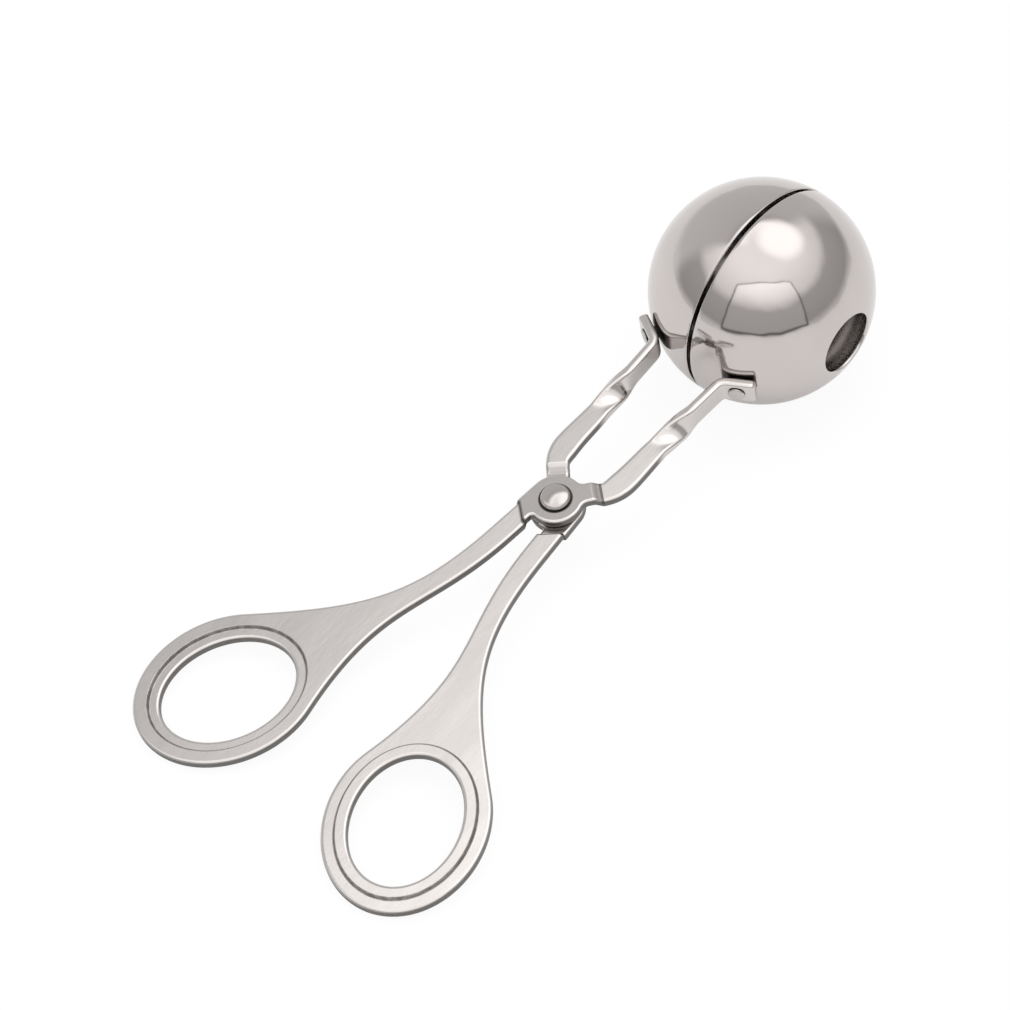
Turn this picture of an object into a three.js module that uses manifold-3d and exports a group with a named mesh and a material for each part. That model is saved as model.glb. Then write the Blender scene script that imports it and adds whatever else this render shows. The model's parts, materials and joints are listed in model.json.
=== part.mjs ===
// Meatball scoop: two identical stamped steel arms cross at a riveted pivot. Each arm has a finger loop
// at one end and carries half of a hollow ball at the other, so spreading the loops opens the ball and
// squeezing them presses minced meat into a round.
//
// Millimetres. The scoop is drawn in its own flat frame: the origin is on the pivot axis, midway through
// the arms, +X runs to the ball, +Y to the user's left and +Z up. The last section tilts it as it lies on
// a table, on the ball and the finger loops, with the origin under the middle of the whole object.
import * as THREE from "three";
import { mergeVertices } from "three/addons/utils/BufferGeometryUtils.js";
import Module from "manifold-3d";

// Ball: two thin cups, each with a vent hole that lets the air out and the meat be pushed free
const BALL_DIAMETER = 45;
const BALL_REACH = 62; // pivot axis to ball centre
const CUP_WALL = 0.8;
const RIM_GAP = 0.9; // between the two rims as the scoop lies closed
const VENT_DIAMETER = 12.9;

// Sheet that the arms are stamped from
const SHEET = 2;
const EDGE_ROUND = 0.5;

// Pivot: each arm is set off by half a sheet, so that the shanks and strips of both lie in one plane
const PIVOT_DIAMETER = 4;
const PIVOT_HEAD_LIP = 1.15;
const PIVOT_HEAD_HEIGHT = 1.5;
const PIVOT_TAIL_HEIGHT = 0.8;
const BOSS_GAP = 0.3; // between the two bosses
const SHANK_FILLET = 0.6; // inner corner between a boss and its shank
const STRIP_FILLET = 1.8; // inner corners between a boss and its strip
const CREASE_MARGIN = 1.5; // from the edge of a boss to the round crease where its slope starts
const JOGGLE_RUN = 0.9; // length of the slope from boss level to strip level

// Shank: from the boss back to the finger loop
const SHANK_WIDTH = 4.6;
const SHANK_GAP = 1.8; // between the two shanks, where they run into the bosses
const SHANK_ANGLE = 5; // degrees from the middle line
const SHANK_STRAIGHT = 4; // straight length behind the boss, before the shank sweeps out

// Finger loops: an oval hole with a pressed ring, inside a flat rim
const HOLE_LENGTH = 26.7;
const HOLE_WIDTH = 21;
const RING_WIDTH = 2.2;
const RING_STEP = 0.7; // how far the ring is pressed out of the sheet
const LOOP_RIM = 2.9;
const LOOP_REACH = 68.4; // pivot axis to the middle of a loop
const LOOP_GAP = 14; // between the two loops
const LOOP_TURN = -25.7; // degrees from +X to the loop's long axis
const WEB_OUTER_BREAK = 62; // degrees round the loop at which its outer edge runs into the shank
const WEB_INNER_BREAK = -48;
const WEB_OUTER_PULLS = [0.42, 0.47]; // how strongly the web's edges follow the shank and the loop
const WEB_INNER_PULLS = [0.42, 0.52];

// Front strip: leaves the boss at an angle, turns on edge and ends in a tab against the cup
const STRIP_WIDTH = 4.5;
const STRIP_ANGLE = 40; // degrees from the middle line at which it leaves the boss
const STRIP_PULLS = [0.14, 0.55]; // how strongly the curved strip follows the boss and the twist
const STRIP_SPREAD = 7.4; // middle line to the strip, where it starts to twist
const BEND_SPREAD = 8.3; // middle line to the strip, where it bends to the tab
const TWIST_LENGTH = 8;
const TWIST_TO_BEND = 9.5;
const BEND_RADIUS = 2.4;
const TAB_ANGLE = 28; // degrees from the middle line to the point where the tab meets the ball
const TAB_WIDTH = 5.2;
const TAB_END = 3.6; // cup rivet to the free end of the tab

// Cup rivets
const CUP_RIVET_DIAMETER = 2.6;
const CUP_RIVET_LIP = 0.75;
const CUP_RIVET_HEIGHT = 0.7;

// Clearances
const SEAT_GAP = 0.3;
const HOLE_CLEARANCE = 0.1;
const WELD_INSET = 0.04; // a lofted bar starts this far inside the plate that it grows from

// Derived sizes
const BALL_R = BALL_DIAMETER / 2;
const CUP_INSIDE_R = BALL_R - CUP_WALL;
const VENT_R = VENT_DIAMETER / 2;
const HALF_SHEET = SHEET / 2;
const ROUND = Math.min(EDGE_ROUND, 0.3 * SHEET);
const BOSS_R = SHANK_WIDTH + SHANK_GAP / 2;
const CREASE_R = BOSS_R + CREASE_MARGIN;
const JOGGLE = (SHEET + BOSS_GAP) / 2;
const PIVOT_HOLE_R = PIVOT_DIAMETER / 2 + HOLE_CLEARANCE;
const CUP_RIVET_HOLE_R = CUP_RIVET_DIAMETER / 2 + HOLE_CLEARANCE;
const TAB_MIDDLE_R = BALL_R + SEAT_GAP + HALF_SHEET;

// Fineness of the curves
const OUTLINE_STEPS = 12;
const BOSS_STEPS = 5;
const ROUND_STEPS = 2;
const CUP_TURNS = 44;
const CUP_STEPS = 9;
const RIVET_TURNS = 24;
const DOME_STEPS = 4;

const wasm = await Module();
wasm.setup();

const polar = (angle, length) => new THREE.Vector2(Math.cos(angle), Math.sin(angle)).multiplyScalar(length);

// A closed geometry as a solid that can be joined and cut
function solidOf(geometry) {
  const bare = geometry.clone();
  bare.deleteAttribute("normal");
  bare.deleteAttribute("uv");
  const merged = mergeVertices(bare);
  return new wasm.Manifold(new wasm.Mesh({
    numProp: 3,
    vertProperties: new Float32Array(merged.attributes.position.array),
    triVerts: new Uint32Array(merged.index.array),
  }));
}

function geometryOf(solid) {
  const mesh = solid.getMesh();
  const geometry = new THREE.BufferGeometry();
  geometry.setAttribute("position", new THREE.BufferAttribute(mesh.vertProperties, 3));
  geometry.setIndex(new THREE.BufferAttribute(mesh.triVerts, 1));
  geometry.computeVertexNormals();
  return geometry;
}

// A flat plate of the arms' sheet with rounded edges, its middle plane at the given height
function stampedPlate(shape, level, curveSegments) {
  const plate = new THREE.ExtrudeGeometry(shape, {
    depth: SHEET - 2 * ROUND,
    curveSegments,
    bevelSize: ROUND,
    bevelThickness: ROUND,
    bevelOffset: -ROUND,
    bevelSegments: ROUND_STEPS,
  });
  return plate.translate(0, 0, level - HALF_SHEET + ROUND);
}

// A bar of rounded rectangular section, lofted through stations and closed at both ends. A station has
// the middle of the section, the directions of its width and of its face, and its half sizes.
function loftedBar(stations) {
  const points = [];
  const faces = [];
  const ring = 4 * (ROUND_STEPS + 1);
  for (const { middle, across, face, halfWidth, halfSheet } of stations) {
    const round = Math.min(ROUND, 0.9 * halfSheet);
    for (let corner = 0; corner < 4; corner++) {
      const signs = [[1, 1], [-1, 1], [-1, -1], [1, -1]][corner];
      for (let step = 0; step <= ROUND_STEPS; step++) {
        const angle = (corner + step / ROUND_STEPS) * Math.PI / 2;
        const w = signs[0] * (halfWidth - round) + round * Math.cos(angle);
        const n = signs[1] * (halfSheet - round) + round * Math.sin(angle);
        const point = middle.clone().addScaledVector(across, w).addScaledVector(face, n);
        points.push(point.x, point.y, point.z);
      }
    }
  }
  for (let station = 0; station < stations.length - 1; station++) {
    for (let i = 0; i < ring; i++) {
      const a = station * ring + i;
      const b = station * ring + (i + 1) % ring;
      faces.push(a, b, a + ring, b, b + ring, a + ring);
    }
  }
  const last = (stations.length - 1) * ring;
  for (let i = 1; i < ring - 1; i++) {
    faces.push(0, i + 1, i, last, last + i, last + i + 1);
  }
  const geometry = new THREE.BufferGeometry();
  geometry.setAttribute("position", new THREE.Float32BufferAttribute(points, 3));
  geometry.setIndex(faces);
  return geometry;
}

// A station of a bar whose middle line lies in plan: raised by lift and rolled about its own direction
function barStation(point, direction, { lift = 0, roll = 0, width, inset = 0 }) {
  const side = new THREE.Vector3(-direction.y, direction.x, 0);
  const up = new THREE.Vector3(0, 0, 1);
  return {
    middle: new THREE.Vector3(point.x, point.y, lift),
    across: side.clone().multiplyScalar(Math.cos(roll)).addScaledVector(up, Math.sin(roll)),
    face: up.clone().multiplyScalar(Math.cos(roll)).addScaledVector(side, -Math.sin(roll)),
    halfWidth: width / 2 - inset,
    halfSheet: HALF_SHEET - inset,
  };
}

// Directions in plan of the upper arm: its shank runs back on the left, its strip forward on the right
const shankAlong = polar(THREE.MathUtils.degToRad(-SHANK_ANGLE), 1);
const shankLeft = new THREE.Vector2(-shankAlong.y, shankAlong.x);
const stripAlong = polar(THREE.MathUtils.degToRad(-STRIP_ANGLE), 1);
const stripLeft = new THREE.Vector2(-stripAlong.y, stripAlong.x);
const shankPoint = (along, left) =>
  shankAlong.clone().multiplyScalar(along).addScaledVector(shankLeft, left);
const stripPoint = (along, left) =>
  stripAlong.clone().multiplyScalar(along).addScaledVector(stripLeft, left);
const SHANK_OUTER = BOSS_R; // the shank's outer edge runs tangent to the boss
const SHANK_INNER = BOSS_R - SHANK_WIDTH;
const SHANK_MIDDLE = BOSS_R - SHANK_WIDTH / 2;
const CREASE_OUTER = -Math.sqrt(CREASE_R ** 2 - SHANK_OUTER ** 2); // crease along the shank's outer edge
const CREASE_INNER = -Math.sqrt(CREASE_R ** 2 - SHANK_INNER ** 2);
const SHANK_NECK = CREASE_INNER - JOGGLE_RUN - SHANK_STRAIGHT;

// The finger loop's ovals, each set in from the hole by a margin
const loopHalfLength = HOLE_LENGTH / 2 + RING_WIDTH + LOOP_RIM;
const loopHalfWidth = HOLE_WIDTH / 2 + RING_WIDTH + LOOP_RIM;
const loopTurn = THREE.MathUtils.degToRad(LOOP_TURN);
const loopHalfSpread = Math.hypot(loopHalfLength * Math.sin(loopTurn), loopHalfWidth * Math.cos(loopTurn));
const loopMiddle = new THREE.Vector2(-LOOP_REACH, LOOP_GAP / 2 + loopHalfSpread);

function loopOval(margin, startDegrees = 0, endDegrees = 360) {
  return new THREE.EllipseCurve(
    loopMiddle.x, loopMiddle.y, HOLE_LENGTH / 2 + margin, HOLE_WIDTH / 2 + margin,
    THREE.MathUtils.degToRad(startDegrees), THREE.MathUtils.degToRad(endDegrees), false, loopTurn);
}

// Handle: the loop's rim, the web that narrows from it and the shank, as one flat plate
function handleShape() {
  const rim = loopOval(RING_WIDTH + LOOP_RIM, WEB_OUTER_BREAK, 360 + WEB_INNER_BREAK);
  const outerStart = shankPoint(CREASE_OUTER - JOGGLE_RUN, SHANK_OUTER);
  const outerNeck = shankPoint(SHANK_NECK, SHANK_OUTER);
  const innerNeck = shankPoint(SHANK_NECK, SHANK_INNER);
  const innerEnd = shankPoint(CREASE_INNER - JOGGLE_RUN, SHANK_INNER);
  const rimStart = rim.getPoint(0);
  const rimEnd = rim.getPoint(1);
  const outerReach = outerNeck.distanceTo(rimStart);
  const innerReach = innerNeck.distanceTo(rimEnd);
  const outerPulls = [
    outerNeck.clone().addScaledVector(shankAlong, -WEB_OUTER_PULLS[0] * outerReach),
    rimStart.clone().addScaledVector(rim.getTangent(0), -WEB_OUTER_PULLS[1] * outerReach),
  ];
  const innerPulls = [
    rimEnd.clone().addScaledVector(rim.getTangent(1), WEB_INNER_PULLS[1] * innerReach),
    innerNeck.clone().addScaledVector(shankAlong, -WEB_INNER_PULLS[0] * innerReach),
  ];
  const shape = new THREE.Shape();
  shape.moveTo(outerStart.x, outerStart.y);
  shape.lineTo(outerNeck.x, outerNeck.y);
  shape.curves.push(new THREE.CubicBezierCurve(outerNeck, ...outerPulls, rimStart));
  shape.curves.push(rim);
  shape.curves.push(new THREE.CubicBezierCurve(rimEnd, ...innerPulls, innerNeck));
  shape.currentPoint.copy(innerNeck);
  shape.lineTo(innerEnd.x, innerEnd.y);
  shape.closePath();
  const opening = new THREE.Path();
  opening.curves.push(loopOval(RING_WIDTH));
  shape.holes.push(opening);
  return shape;
}

// Ring: pressed down out of the loop's rim, it overlaps the rim by half of its step
function ringShape() {
  const shape = new THREE.Shape();
  shape.curves.push(loopOval(RING_WIDTH + RING_STEP / 2));
  const hole = new THREE.Path();
  hole.curves.push(loopOval(0));
  shape.holes.push(hole);
  return shape;
}

// Centre of the fillet in the corner between the boss and the edge of a strip that leaves it. The edge
// lies at a distance from the pivot, measured along outward, the normal that points out of the strip.
function bossFillet(outward, distance, away, radius) {
  const across = distance + radius;
  const along = Math.sqrt((BOSS_R + radius) ** 2 - across ** 2);
  return outward.clone().multiplyScalar(across).addScaledVector(away, along);
}

// Boss: a round plate with the roots of the shank and of the strip, filleted in its three inner corners
function bossShape() {
  const shankRight = shankLeft.clone().negate();
  const stripRight = stripLeft.clone().negate();
  const shankAway = shankAlong.clone().negate();
  const shankFillet = bossFillet(shankRight, -SHANK_INNER, shankAway, SHANK_FILLET);
  const outerFillet = bossFillet(stripRight, STRIP_WIDTH / 2, stripAlong, STRIP_FILLET);
  const innerFillet = bossFillet(stripLeft, STRIP_WIDTH / 2, stripAlong, STRIP_FILLET);
  const start = shankPoint(CREASE_INNER, SHANK_INNER);
  const stripCrease = Math.sqrt(CREASE_R ** 2 - (STRIP_WIDTH / 2) ** 2);
  const stripEdges = [-1, 1].map((side) => stripPoint(stripCrease, side * STRIP_WIDTH / 2));
  const end = shankPoint(CREASE_OUTER, SHANK_OUTER);
  const shape = new THREE.Shape();
  shape.moveTo(end.x, end.y);
  shape.lineTo(start.x, start.y);
  shape.absarc(shankFillet.x, shankFillet.y, SHANK_FILLET,
    shankLeft.angle(), shankFillet.clone().negate().angle(), true);
  shape.absarc(0, 0, BOSS_R, shankFillet.angle(), outerFillet.angle(), false);
  shape.absarc(outerFillet.x, outerFillet.y, STRIP_FILLET,
    outerFillet.clone().negate().angle(), stripLeft.angle(), true);
  stripEdges.forEach((edge) => shape.lineTo(edge.x, edge.y));
  shape.absarc(innerFillet.x, innerFillet.y, STRIP_FILLET,
    stripRight.angle(), innerFillet.clone().negate().angle(), true);
  shape.absarc(0, 0, BOSS_R, innerFillet.angle(), shankLeft.angle(), false);
  shape.closePath();
  return shape;
}

// Slope between the shank and the boss. Its sections follow the crease, which is round about the pivot
// and so crosses the shank at a slant.
function shankJoggle() {
  const middle = (CREASE_INNER + CREASE_OUTER) / 2;
  const chord = shankPoint(CREASE_OUTER, SHANK_OUTER).sub(shankPoint(CREASE_INNER, SHANK_INNER));
  const outOfChord = new THREE.Vector2(chord.y, -chord.x).normalize();
  const levels = [
    [middle - JOGGLE_RUN - 2 * ROUND, 0],
    [middle - JOGGLE_RUN, 0],
    [middle, JOGGLE],
    [middle + 2 * ROUND, JOGGLE],
  ];
  return loftedBar(levels.map(([along, lift]) =>
    barStation(shankPoint(along, SHANK_MIDDLE), outOfChord,
      { lift, width: chord.length(), inset: WELD_INSET })));
}

// Where the tab lies: its rivet, and the corner at which the strip would meet it without a bend
const tabAngle = THREE.MathUtils.degToRad(TAB_ANGLE);
const ballMiddle = new THREE.Vector2(BALL_REACH, 0);
const tabOut = new THREE.Vector2(-Math.cos(tabAngle), -Math.sin(tabAngle));
const tabAlong = new THREE.Vector2(Math.sin(tabAngle), -Math.cos(tabAngle));
const tabRivet = ballMiddle.clone().addScaledVector(tabOut, TAB_MIDDLE_R);
const tabCorner = tabRivet.clone().addScaledVector(tabAlong, (-BEND_SPREAD - tabRivet.y) / tabAlong.y);

// Front strip: slope down from the boss, curve outward, quarter twist on edge, bend and tab
function frontStrip() {
  const run = Math.sqrt((TWIST_LENGTH + TWIST_TO_BEND) ** 2 - (BEND_SPREAD - STRIP_SPREAD) ** 2);
  const twistStart = new THREE.Vector2(tabCorner.x - run, -STRIP_SPREAD);
  const onEdge = tabCorner.clone().sub(twistStart).normalize();
  const twistEnd = twistStart.clone().addScaledVector(onEdge, TWIST_LENGTH);
  const bendAngle = Math.acos(onEdge.dot(tabAlong));
  const bendSet = BEND_RADIUS * Math.tan(bendAngle / 2);
  const curveStart = stripPoint(CREASE_R + JOGGLE_RUN, 0);
  const reach = curveStart.distanceTo(twistStart);
  const curve = new THREE.CubicBezierCurve(
    curveStart,
    curveStart.clone().addScaledVector(stripAlong, STRIP_PULLS[0] * reach),
    twistStart.clone().addScaledVector(onEdge, -STRIP_PULLS[1] * reach),
    twistStart);
  const bendMiddle = tabCorner.clone()
    .addScaledVector(onEdge, -bendSet)
    .add(new THREE.Vector2(onEdge.y, -onEdge.x).multiplyScalar(BEND_RADIUS));
  const bendStart = onEdge.angle() + Math.PI / 2;
  const bend = new THREE.EllipseCurve(bendMiddle.x, bendMiddle.y, BEND_RADIUS, BEND_RADIUS,
    bendStart, bendStart - bendAngle, true);
  const tabEnd = tabRivet.clone().addScaledVector(tabAlong, TAB_END);
  const stations = [];
  const add = (point, direction, options) => stations.push(barStation(point, direction, options));
  const flat = { width: STRIP_WIDTH, inset: WELD_INSET };
  const upright = { width: TAB_WIDTH, roll: Math.PI / 2 };
  add(stripPoint(CREASE_R - 2 * ROUND, 0), stripAlong, { ...flat, lift: JOGGLE });
  add(stripPoint(CREASE_R, 0), stripAlong, { ...flat, lift: JOGGLE });
  for (let step = 0; step < OUTLINE_STEPS; step++) {
    add(curve.getPoint(step / OUTLINE_STEPS), curve.getTangent(step / OUTLINE_STEPS), flat);
  }
  for (let step = 0; step <= OUTLINE_STEPS; step++) {
    const t = step / OUTLINE_STEPS;
    const ease = THREE.MathUtils.smoothstep(t, 0, 1);
    const width = THREE.MathUtils.lerp(STRIP_WIDTH, TAB_WIDTH, ease);
    add(twistStart.clone().lerp(twistEnd, t), onEdge, { width, roll: ease * Math.PI / 2 });
  }
  for (let step = 0; step <= OUTLINE_STEPS / 2; step++) {
    const t = step / (OUTLINE_STEPS / 2);
    add(bend.getPoint(t), bend.getTangent(t), upright);
  }
  for (let step = 0; step <= ROUND_STEPS; step++) {
    const angle = step / ROUND_STEPS * Math.PI / 2;
    const back = ROUND * (1 - Math.sin(angle));
    const inset = ROUND * (1 - Math.cos(angle));
    add(tabEnd.clone().addScaledVector(tabAlong, -back), tabAlong, { ...upright, inset });
  }
  return loftedBar(stations);
}

// Turns a geometry made along +Y to point along a direction in plan
function alongPlan(geometry, direction) {
  const target = new THREE.Vector3(direction.x, direction.y, 0);
  const turn = new THREE.Quaternion().setFromUnitVectors(new THREE.Vector3(0, 1, 0), target);
  return geometry.applyQuaternion(turn);
}

// One arm, drawn as the upper one
function makeArm() {
  const pivotHole = new THREE.CylinderGeometry(PIVOT_HOLE_R, PIVOT_HOLE_R, 3 * SHEET, RIVET_TURNS)
    .rotateX(Math.PI / 2)
    .translate(0, 0, JOGGLE);
  const tabHole = alongPlan(
    new THREE.CylinderGeometry(CUP_RIVET_HOLE_R, CUP_RIVET_HOLE_R, 3 * SHEET, RIVET_TURNS), tabOut)
    .translate(tabRivet.x, tabRivet.y, 0);
  const arm = solidOf(stampedPlate(handleShape(), 0, OUTLINE_STEPS))
    .add(solidOf(stampedPlate(ringShape(), -RING_STEP, OUTLINE_STEPS)))
    .add(solidOf(shankJoggle()))
    .add(solidOf(stampedPlate(bossShape(), JOGGLE, BOSS_STEPS)))
    .add(solidOf(frontStrip()))
    .subtract(solidOf(pivotHole))
    .subtract(solidOf(tabHole));
  return geometryOf(arm);
}

// One cup, drawn as the right one and centred on the ball: a spun shell with its pole at -Y
function makeCup() {
  const rimAngle = (radius) => Math.asin(RIM_GAP / 2 / radius);
  const ventAngle = (radius) => Math.acos(VENT_R / radius);
  const profile = [];
  const arc = (radius, from, to) => {
    for (let step = 0; step <= CUP_STEPS; step++) {
      const point = polar(THREE.MathUtils.lerp(from, to, step / CUP_STEPS), radius);
      profile.push(new THREE.Vector2(point.x, -point.y));
    }
  };
  arc(CUP_INSIDE_R, rimAngle(CUP_INSIDE_R), ventAngle(CUP_INSIDE_R));
  arc(BALL_R, ventAngle(BALL_R), rimAngle(BALL_R));
  profile.push(profile[0].clone());
  const shell = new THREE.LatheGeometry(profile, CUP_TURNS);
  const rivetHole = alongPlan(
    new THREE.CylinderGeometry(CUP_RIVET_HOLE_R, CUP_RIVET_HOLE_R, 4 * CUP_WALL, RIVET_TURNS), tabOut)
    .translate(tabOut.x * BALL_R, tabOut.y * BALL_R, 0);
  return geometryOf(solidOf(shell).subtract(solidOf(rivetHole)));
}

// A rivet spun about +Y: a domed head above, a shank, and a lower domed tail below
function makeRivet({ shankR, headR, headSeat, headHeight, tailSeat, tailHeight }) {
  const profile = [];
  const dome = (seat, height, from, to) => {
    for (let step = 0; step <= DOME_STEPS; step++) {
      const angle = THREE.MathUtils.lerp(from, to, step / DOME_STEPS);
      profile.push(new THREE.Vector2(headR * Math.cos(angle), seat + height * Math.sin(angle)));
    }
  };
  dome(tailSeat, -tailHeight, Math.PI / 2, 0);
  profile.push(new THREE.Vector2(shankR, tailSeat));
  profile.push(new THREE.Vector2(shankR, headSeat));
  dome(headSeat, headHeight, 0, Math.PI / 2);
  profile[0].x = 0;
  profile[profile.length - 1].x = 0;
  return geometryOf(solidOf(new THREE.LatheGeometry(profile, RIVET_TURNS)));
}

function makePivotRivet() {
  const seat = JOGGLE + HALF_SHEET + SEAT_GAP;
  const rivet = makeRivet({
    shankR: PIVOT_DIAMETER / 2,
    headR: PIVOT_DIAMETER / 2 + PIVOT_HEAD_LIP,
    headSeat: seat,
    headHeight: PIVOT_HEAD_HEIGHT,
    tailSeat: -seat,
    tailHeight: PIVOT_TAIL_HEIGHT,
  });
  return rivet.rotateX(Math.PI / 2);
}

// A cup rivet, centred on the ball: its head lies outside on the tab, its tail inside the cup
function makeCupRivet() {
  const headR = CUP_RIVET_DIAMETER / 2 + CUP_RIVET_LIP;
  const rivet = makeRivet({
    shankR: CUP_RIVET_DIAMETER / 2,
    headR,
    headSeat: TAB_MIDDLE_R + HALF_SHEET + SEAT_GAP,
    headHeight: CUP_RIVET_HEIGHT,
    tailSeat: Math.sqrt(CUP_INSIDE_R ** 2 - headR ** 2) - SEAT_GAP,
    tailHeight: CUP_RIVET_HEIGHT,
  });
  return alongPlan(rivet, tabOut);
}

// Satin steel for the stamped arms, polished steel for the cups and rivets
const satinSteel = () => new THREE.MeshStandardMaterial({ color: 0xbfbab6, metalness: 1, roughness: 0.38 });
const polishedSteel = () => new THREE.MeshStandardMaterial({ color: 0xcfccc9, metalness: 1, roughness: 0.12 });

function piece(name, geometry, material) {
  const mesh = new THREE.Mesh(geometry, material);
  mesh.name = name;
  return mesh;
}

// Half of the scoop: an arm with its cup and cup rivet, placed as the upper half
function makeHalf(armName, side) {
  const half = new THREE.Group();
  const cup = piece(`${side}_cup`, makeCup(), polishedSteel());
  const rivet = piece(`${side}_cup_rivet`, makeCupRivet(), polishedSteel());
  cup.position.x = BALL_REACH;
  rivet.position.x = BALL_REACH;
  half.add(piece(armName, makeArm(), satinSteel()), cup, rivet);
  return half;
}

// Tilt at which the scoop lies on a table: the ball rests at the front, a loop at the back
function restingTilt(halves) {
  const point = new THREE.Vector3();
  let tilt = Math.PI / 2;
  for (const half of halves) {
    half.updateMatrixWorld(true);
    const arm = half.children[0];
    const positions = arm.geometry.attributes.position;
    for (let i = 0; i < positions.count; i++) {
      point.fromBufferAttribute(positions, i).applyMatrix4(arm.matrixWorld);
      const run = BALL_REACH - point.x;
      const touch = Math.asin(BALL_R / Math.hypot(run, point.z)) - Math.atan2(-point.z, run);
      tilt = Math.min(tilt, point.x < 0 ? touch : tilt);
    }
  }
  return tilt;
}

// The lower half is the same as the upper one, turned over about the middle line
const upperHalf = makeHalf("upper_arm", "right");
const lowerHalf = makeHalf("lower_arm", "left");
lowerHalf.rotation.x = Math.PI;

const scoop = new THREE.Group();
scoop.add(upperHalf, lowerHalf, piece("pivot_rivet", makePivotRivet(), polishedSteel()));
scoop.rotation.y = -restingTilt([upperHalf, lowerHalf]);

const box = new THREE.Box3().setFromObject(scoop, true);
scoop.position.set(-(box.min.x + box.max.x) / 2, -(box.min.y + box.max.y) / 2, -box.min.z);

const group = new THREE.Group();
group.add(scoop);
export default group;
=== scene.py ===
# %% [markdown]
# Meatball scoop: scissor tongs of stainless steel. Two stamped arms cross at a riveted pivot, and each ends
# in half of a hollow ball. The frame holds the bare solids, and this lesson dresses them: sheet metal with
# rolled edges, thin polished cups, upset rivets, and the steel that they are made of.

# %% Load the frame
import json
from math import acos, asin, atan2, cos, degrees, hypot, pi, radians, sin, sqrt, tan, tau

import bmesh
import bpy
from mathutils import Matrix, Vector
from mathutils.geometry import interpolate_bezier


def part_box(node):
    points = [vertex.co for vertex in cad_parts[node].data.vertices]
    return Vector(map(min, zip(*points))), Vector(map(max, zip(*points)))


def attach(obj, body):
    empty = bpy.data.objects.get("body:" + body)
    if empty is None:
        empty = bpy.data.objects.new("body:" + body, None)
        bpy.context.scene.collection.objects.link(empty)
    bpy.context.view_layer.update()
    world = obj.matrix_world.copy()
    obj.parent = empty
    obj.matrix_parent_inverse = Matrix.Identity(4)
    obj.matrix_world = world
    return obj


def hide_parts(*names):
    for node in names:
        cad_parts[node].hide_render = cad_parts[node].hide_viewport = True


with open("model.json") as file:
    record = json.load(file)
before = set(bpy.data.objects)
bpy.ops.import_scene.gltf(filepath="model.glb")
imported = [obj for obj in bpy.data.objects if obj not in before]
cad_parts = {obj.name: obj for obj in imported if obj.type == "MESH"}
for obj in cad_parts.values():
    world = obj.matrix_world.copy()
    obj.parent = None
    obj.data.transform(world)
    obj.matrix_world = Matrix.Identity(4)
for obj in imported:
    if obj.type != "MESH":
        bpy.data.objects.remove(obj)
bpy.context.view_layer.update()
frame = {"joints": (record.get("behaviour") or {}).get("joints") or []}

# %% [markdown]
# The scoop lies tilted on the table, on its ball and its loops, which is an awkward way to draw it. Drawing
# board and table differ by one turn about the left-right axis, so everything is modelled flat, in
# millimetres, with the pivot at the origin, and one matrix then lays a finished mesh in its place. The
# frame's hinge gives that matrix: its axis, pointed up, is the drawing board's upright.

# %% Drawing board
hinge = frame["joints"][0]
board_up = -Vector(hinge["axis"]).normalized()
board_left = Vector((0, 1, 0))
board_ahead = board_left.cross(board_up)
METRES = 0.001
board = Matrix((board_ahead, board_left, board_up)).transposed().to_4x4()
place = Matrix.Translation(Vector(hinge["pos_m"])) @ board @ Matrix.Scale(METRES, 4)
print("tilt", round(degrees(asin(board_ahead.z)), 2), "degrees")

# %% [markdown]
# Every piece ends the same way: its mesh is laid in place, shaded smooth and tied to the body that carries
# it, and the solid that it stands in for is hidden. The print tells whether it is closed. The lower half is
# the upper half turned over about the middle line, so one function makes a piece for both.

# %% Finishing a piece
halves = {"upper_half": Matrix.Identity(4), "lower_half": Matrix.Rotation(pi, 4, "X")}


def finish_piece(bm, node, body):
    """Lays a mesh in place, ties it to a body and hides the solid that it stands in for."""
    mesh = bpy.data.meshes.new(f"{node}_steel")
    open_edges = sum(not edge.is_manifold for edge in bm.edges)
    volume = round(bm.calc_volume(), 1)
    bm.transform(place)
    bm.to_mesh(mesh)
    bm.free()
    mesh.shade_smooth()
    piece = bpy.data.objects.new(mesh.name, mesh)
    bpy.context.scene.collection.objects.link(piece)
    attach(piece, body)
    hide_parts(node)
    triangles = sum(len(polygon.vertices) - 2 for polygon in mesh.polygons)
    print(piece.name, body, triangles, "triangles,", open_edges, "open edges,", volume, "mm3")
    return piece


def finish_halves(make, nodes):
    """A piece of the upper half as it is drawn, and one of the lower half turned over."""
    pieces = []
    for node, (body, turn) in zip(nodes, halves.items()):
        bm = make()
        bm.transform(turn)
        pieces.append(finish_piece(bm, node, body))
    return pieces


# %% [markdown]
# An arm is one piece of 2 mm sheet: stamped to its outline, pressed, bent and twisted. A solid block with
# pieces cut off would hide that, so the middle of the sheet is modelled as a surface without thickness, and
# the sheet gets its 2 mm at the end. The outline is drawn from straight runs, arcs and four-point curves.

# %% Sheet and outline helpers
SHEET = 2
EDGE_BAND = 0.66  # narrow border of faces along an outline, which keeps the rolled edge's shading in


def polar(angle, length=1):
    return Vector((cos(angle), sin(angle), 0)) * length


def left_of(direction):
    return Vector((-direction.y, direction.x, 0))


def angle_of(direction):
    return atan2(direction.y, direction.x)


def arc(middle, radius, start, end, steps, clockwise=False):
    turn = (start - end) % tau if clockwise else (end - start) % tau
    sense = -1 if clockwise else 1
    return [middle + polar(start + sense * turn * step / steps, radius) for step in range(steps + 1)]


def between(start, end, columns):
    return [start.lerp(end, (column + 1) / 2) for column in columns]


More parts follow.
